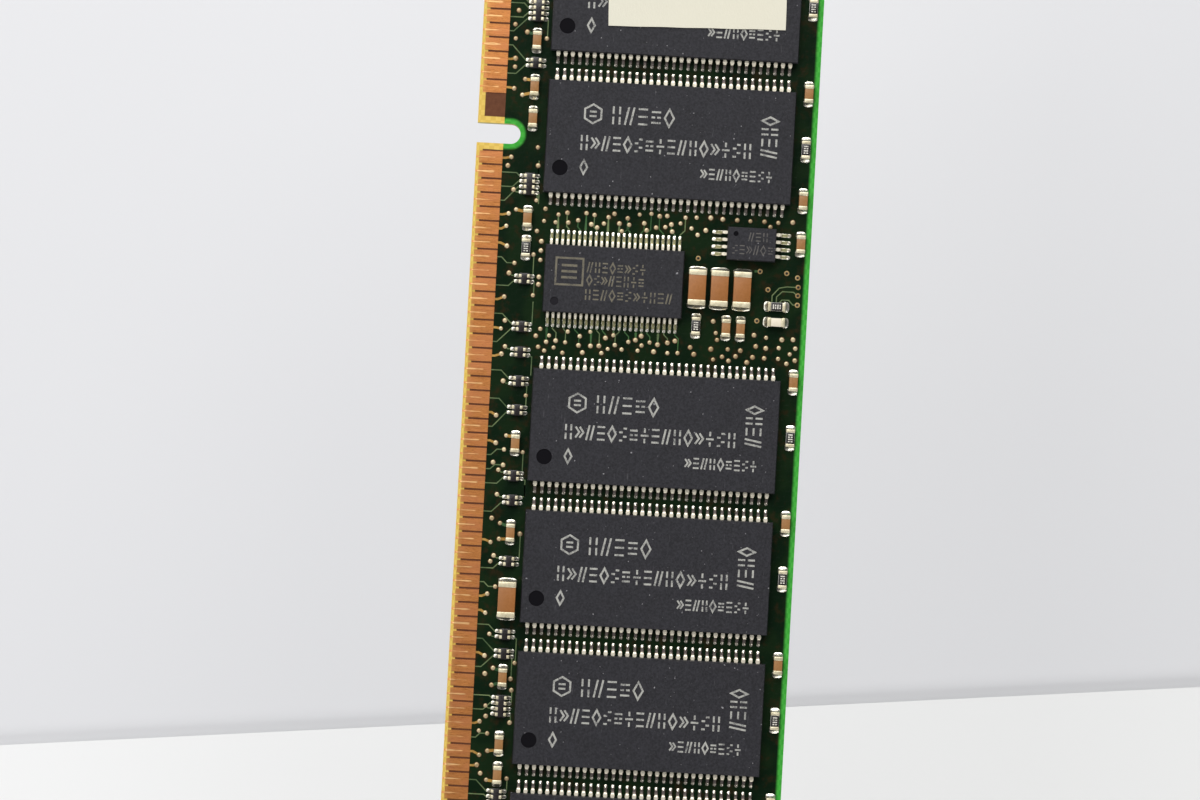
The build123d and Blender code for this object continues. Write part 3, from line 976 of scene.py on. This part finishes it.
def link_capacitors(side):
    """Broad tracks to vias beside the ends of the small capacitors in the row by the contacts."""
    for centre, _, face in solids_of("capacitors_0603"):
        if face != side or centre.y > contact_end + 4:
            continue
        for way in (-1, 1):
            start = (centre.x + way * 0.62, centre.y - 0.3)
            end = (start[0] + random.uniform(-0.1, 0.2) * way, centre.y - random.uniform(0.85, 1.1))
            if random.random() < 0.75 and via(*end, side):
                piece = random.choice((broad_traces, gold_traces))
                trace([start, (start[0], start[1] - 0.2), end], side, BROAD, piece)


def wire_logic(package, side, axis):
    """Short bent tracks that fan out from a logic package's toes and mostly end in vias."""
    body = middle_of(package)
    for centre, size, _ in solids_of(package + "_leads"):
        gap = centre[axis] - body[axis]
        out = math.copysign(1, gap)
        toe = abs(gap) + size[axis] / 2 + TOE - 0.06
        across = centre[1 - axis]
        if random.random() < 0.15:
            continue
        lean = random.choice((-1, 0, 1)) * random.uniform(0.15, 0.45)
        run = random.uniform(0.2, 1.5)
        steps = [(toe - 0.1, across), (toe + 0.15, across), (toe + 0.15 + abs(lean), across + lean),
                 (toe + 0.16 + abs(lean) + run, across + lean)]
        points = [(body[axis] + out * a, b) for a, b in steps]
        if axis == 1:
            points = [(b, a) for a, b in points]
        if is_free(*points[-1], side, 0.05):
            trace(points, side, piece=random.choice((traces, broad_traces)))
            via(*points[-1], side)


# Listed one by one: open vias round the small parts, filled ones by the notch and below the clock driver.
OPEN_VIAS = ((3.62, 5.2), (4.5, 10.8), (4.55, 13.2), (4.9, 14.2), (5.75, 14.3), (6.5, 14.3), (7.35, 14.3),
             (6.1, 11.6), (8.95, 10.75))
FILLED_VIAS = ((-6.48, -9.75), (-5.54, -9.72), (1.96, -9.4), (2.86, -8.95), (3.69, -8.95), (4.54, -8.95),
               (6.07, -9.0), (6.74, -9.0))
BENT_TRACKS = (((7.2, 12.0), (6.6, 12.0), (5.9, 12.6), (5.75, 13.3), (5.75, 14.1)),
               ((7.2, 12.4), (6.7, 12.4), (6.2, 12.9), (6.2, 13.9), (6.45, 14.2)),
               ((7.35, 14.1), (7.35, 13.9), (6.95, 13.5), (6.95, 12.9), (7.2, 12.7)))
for x, y in OPEN_VIAS:
    open_via(x, y, TOP)
for x, y in FILLED_VIAS:
    via(x, y, TOP)
for track in BENT_TRACKS:
    trace(track, TOP)
trace([(4.5, 10.6), (4.5, 10.3)], TOP, TAIL, broad_traces)

for side in (TOP, UNDERSIDE):
    wire_contacts(side, wire_arrays(side))
    link_capacitors(side)
wire_logic("clock_driver", TOP, 0)
for package in REGISTERS:
    wire_logic(package, UNDERSIDE, 1)

# Rows of vias beside and around the clock driver and the small parts: X, first Y, last Y, how many.
VIA_ROWS = ((-0.05, -8.8, 13.6, 19), (0.5, -8.4, 13.2, 14), (1.0, -8.8, 5.6, 14), (1.45, -8.6, 5.2, 7),
            (10.8, -8.6, 9.6, 9), (11.25, -8.8, 14.2, 20), (11.75, -8.2, 14.0, 16),
            (12.25, -8.8, 14.2, 19), (12.65, -8.2, 13.6, 14), (9.3, -8.4, -8.4, 1), (8.4, -8.0, -8.0, 1),
            (6.4, -8.0, -8.0, 1), (5.5, -8.05, -8.05, 1), (4.6, -8.0, -8.0, 1), (1.6, 6.2, 7.4, 2),
            (2.4, 6.3, 7.2, 2), (9.2, 7.0, 7.0, 1), (10.3, 7.0, 11.8, 5), (10.5, 13.2, 14.2, 2),
            (3.35, 14.5, 14.5, 1))
for x, first, last, count in VIA_ROWS:
    for i in range(count):
        y = first + (last - first) * i / max(count - 1, 1)
        via(x + random.uniform(-0.12, 0.12), y + random.uniform(-0.22, 0.22), TOP)

for piece, metal in ((domes, via_metal), (collars, collar_metal), (eyelets, ring_metal), (hole_shade_discs, hole_shade)):
    piece.make(metal, "solder_tin")
traces.make(trace_green, "solder_mask_board", smooth_below=0)
broad_traces.make(broad_green, "solder_mask_board", smooth_below=0)
gold_traces.make(gold_link, "gold_contacts", smooth_below=0)


# ---- plating tie bars on the bevel

def tie_bars(side):
    """The plating tails from each contact down the bevel to the board's cut edge."""
    bars = Piece("plating_tails_top" if side == TOP else "plating_tails_bottom")
    half_width, off_edge, past_bevel, thick = 0.09, 0.03, 0.02, 0.02
    near, far = -HALF_HEIGHT + off_edge, -HALF_HEIGHT + BEVEL_ALONG + past_bevel
    high = face_z(side)
    low = high - side * BEVEL_DEEP * (1 - off_edge / BEVEL_ALONG)
    faces = [[4, 5, 6, 7], [3, 2, 1, 0], [0, 1, 5, 4], [1, 2, 6, 5], [2, 3, 7, 6], [3, 0, 4, 7]]
    if side == UNDERSIDE:
        faces = [face[::-1] for face in faces]
    for x in contact_x:
        corners = [(x - half_width, near, low), (x + half_width, near, low), (x + half_width, far, high),
                   (x - half_width, far, high)]
        raised = [(a, b, c + side * thick) for a, b, c in corners]
        bars.add((corners + raised, faces))
    bars.make(gold, "gold_contacts", smooth_below=0)


tie_bars(TOP)
tie_bars(UNDERSIDE)


# ---- markings

# Plain signs, drawn as strokes in a cell one unit high; none is a Latin letter or an Arabic figure.
SIGNS = (
    (((0.0, 0.08), (0.52, 0.08)), ((0.0, 0.5), (0.52, 0.5)), ((0.0, 0.92), (0.52, 0.92))),
    (((0.26, 0.02), (0.52, 0.5), (0.26, 0.98), (0.0, 0.5), (0.26, 0.02)),),
    (((0.0, 0.86), (0.26, 0.5), (0.0, 0.14)), ((0.28, 0.86), (0.54, 0.5), (0.28, 0.14))),
    (((0.08, 0.0), (0.08, 0.42)), ((0.08, 0.58), (0.08, 1.0)), ((0.44, 0.0), (0.44, 0.42)),
     ((0.44, 0.58), (0.44, 1.0))),
    (((0.0, 0.1), (0.24, 0.1)), ((0.28, 0.36), (0.52, 0.36)), ((0.0, 0.64), (0.24, 0.64)),
     ((0.28, 0.9), (0.52, 0.9))),
    (((0.0, 0.0), (0.2, 1.0)), ((0.3, 0.0), (0.5, 1.0))),
    (((0.26, 0.0), (0.26, 0.3)), ((0.0, 0.5), (0.52, 0.5)), ((0.26, 0.7), (0.26, 1.0))),
    (((0.0, 0.2), (0.52, 0.2)), ((0.0, 0.5), (0.2, 0.5)), ((0.32, 0.5), (0.52, 0.5)),
     ((0.0, 0.8), (0.52, 0.8))),
)
SIGN_STEP = 0.74                # from one sign to the next, in units of a sign's height
MARK_THICK = 0.002


def mark(piece, place, points, stroke, closed=False):
    """One printed line of a marking."""
    piece.add(strip(points, stroke, MARK_THICK, closed), place)


def write_line(piece, place, start, height, length, stroke, order):
    """A line of signs along +Y with their tops towards -X, in a package's own coordinates."""
    count = max(1, round(length / (height * SIGN_STEP)))
    for i in range(count):
        for line in SIGNS[order[i % len(order)]]:
            points = [(start[0] - up * height, start[1] + (i + across / SIGN_STEP) * length / count)
                      for across, up in line]
            closed = line[0] == line[-1]
            mark(piece, place, points[:-1] if closed else points, stroke, closed)


def package_place(node, side):
    """Matrix from a package's own coordinates, on its top face, to the board's."""
    centre = middle_of(node)
    z = PACKAGE_TOP if side == TOP else 0.0
    turn = Matrix.Identity(4) if side == TOP else Matrix.Rotation(math.pi, 4, "X")
    return Matrix.Translation((centre.x, centre.y, z)) @ turn


def memory_marks(side):
    """A barred hexagon, lines of signs and one turned line on each memory package."""
    piece = Piece("memory_markings_top" if side == TOP else "memory_markings_bottom")
    bold, fine = 0.17, 0.15
    middle_x, middle_y, radius = -2.13, -6.99, 0.85
    corners = (math.radians(60 * i) for i in range(6))
    hexagon = [(middle_x + radius * math.cos(a), middle_y + radius * math.sin(a)) for a in corners]
    for node in MEMORY_NAMES[side]:
        place = package_place(node, side)
        mark(piece, place, hexagon, bold, closed=True)
        for x in (middle_x - 0.2, middle_x + 0.2):
            mark(piece, place, [(x, middle_y - 0.31), (x, middle_y + 0.31)], bold)
        write_line(piece, place, (-1.3, -5.3), 1.6, 5.9, bold, (3, 5, 0, 7, 1))
        write_line(piece, place, (1.15, -8.0), 1.35, 15.6, bold,
                   (3, 2, 5, 0, 1, 4, 7, 6, 0, 5, 3, 1, 2, 6, 4))
        write_line(piece, place, (3.3, -7.9), 1.25, 0.9, bold, (1,))
        write_line(piece, place, (3.2, 2.9), 1.0, 6.6, fine, (2, 0, 5, 3, 1, 7, 0, 4, 6))
        turned = place @ Matrix.Translation((-0.92, 8.88, 0)) @ Matrix.Rotation(math.pi / 2, 4, "Z")
        write_line(piece, turned, (0.75, -1.85), 1.5, 3.9, bold, (5, 0, 3, 1))
    piece.make(pale_mark, "package_epoxy", smooth_below=0)


memory_marks(TOP)
memory_marks(UNDERSIDE)


def logic_marks(node, side, turn=0):
    """A barred square frame and three lines of signs."""
    piece = Piece(node + "_markings")
    place = package_place(node, side) @ Matrix.Rotation(math.radians(turn), 4, "Z")
    frame_stroke, bar_stroke, sign_stroke, sign_height = 0.18, 0.22, 0.13, 0.95
    square = [(-1.85, -5.2), (0.53, -5.2), (0.53, -2.78), (-1.85, -2.78)]
    mark(piece, place, square, frame_stroke, closed=True)
    for x in (-1.2, -0.66, -0.12):
        mark(piece, place, [(x, -4.7), (x, -3.3)], bar_stroke)
    for start, length, order in (((-0.65, -2.4), 5.4, (5, 3, 0, 1, 7, 2, 4, 6)),
                                 ((0.5, -2.4), 5.3, (1, 4, 2, 5, 0, 3, 6, 7)),
                                 ((1.8, -2.5), 8.0, (3, 0, 5, 1, 7, 4, 2, 6))):
        write_line(piece, place, start, sign_height, length, sign_stroke, order)
    piece.make(tan_mark, "package_epoxy", smooth_below=0)


logic_marks("clock_driver", TOP)
for package in REGISTERS:
    logic_marks(package, UNDERSIDE, 90)

settings_marks = Piece("spd_eeprom_markings")
settings_place = package_place("spd_eeprom", TOP)
write_line(settings_marks, settings_place, (-0.25, -0.3), 0.8, 1.9, 0.1, (5, 0, 3))
write_line(settings_marks, settings_place, (0.95, -1.7), 0.85, 3.8, 0.1, (4, 0, 2, 5, 1, 7))
settings_marks.make(faint_mark, "package_epoxy", smooth_below=0)


# ---- paper label

def paper_label():
    """A closed thin sheet with softly waved edges that dips a little between the packages."""
    thick, lift = 0.09, 0.004
    side_wave, end_wave = 0.03, 0.012
    package_half, dip_deep, dip_run = 4.98, 0.07, 1.3
    columns, rows = 41, 121
    out = Vector((-math.cos(LABEL_TURN), -math.sin(LABEL_TURN)))
    across = Vector((-math.sin(LABEL_TURN), math.cos(LABEL_TURN)))
    centres = [middle_of(node).x for node in MEMORY_NAMES[TOP]]
    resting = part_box("label")[0].z / MM + lift
    bottom = []
    for i in range(rows):
        for j in range(columns):
            u, v = i / (rows - 1), j / (columns - 1)
            off_middle = v - 0.5
            ripple = side_wave * math.sin(u * 31) * off_middle * 2 * abs(off_middle) * 2
            along = u * LABEL_LONG + (end_wave * math.sin(v * 23 + 1) if i in (0, rows - 1) else 0)
            flat = Vector(LABEL_NEAR_EDGE) + out * along + across * (off_middle * LABEL_WIDE + ripple)
            gap = max(0, min(abs(flat.x - c) for c in centres) - package_half)
            bottom.append((flat.x, flat.y, resting - dip_deep * min(gap / dip_run, 1) ** 2))
    top = [(x, y, z + thick) for x, y, z in bottom]
    under, last = rows * columns, (rows - 1) * columns
    faces = skin(rows, columns, flip=True) + skin(rows, columns, first=under)
    for i in range(rows - 1):
        near, far = i * columns, (i + 1) * columns
        for a, b in ((near, far), (far + columns - 1, near + columns - 1)):
            faces.append([a, b, under + b, under + a])
    for j in range(columns - 1):
        for a, b in ((j + 1, j), (last + j, last + j + 1)):
            faces.append([a, b, under + b, under + a])
    piece = Piece("label_sheet")
    piece.add((top + bottom, faces))
    piece.make(paper, "label_paper", smooth_below=50, replaces=["label"])


paper_label()
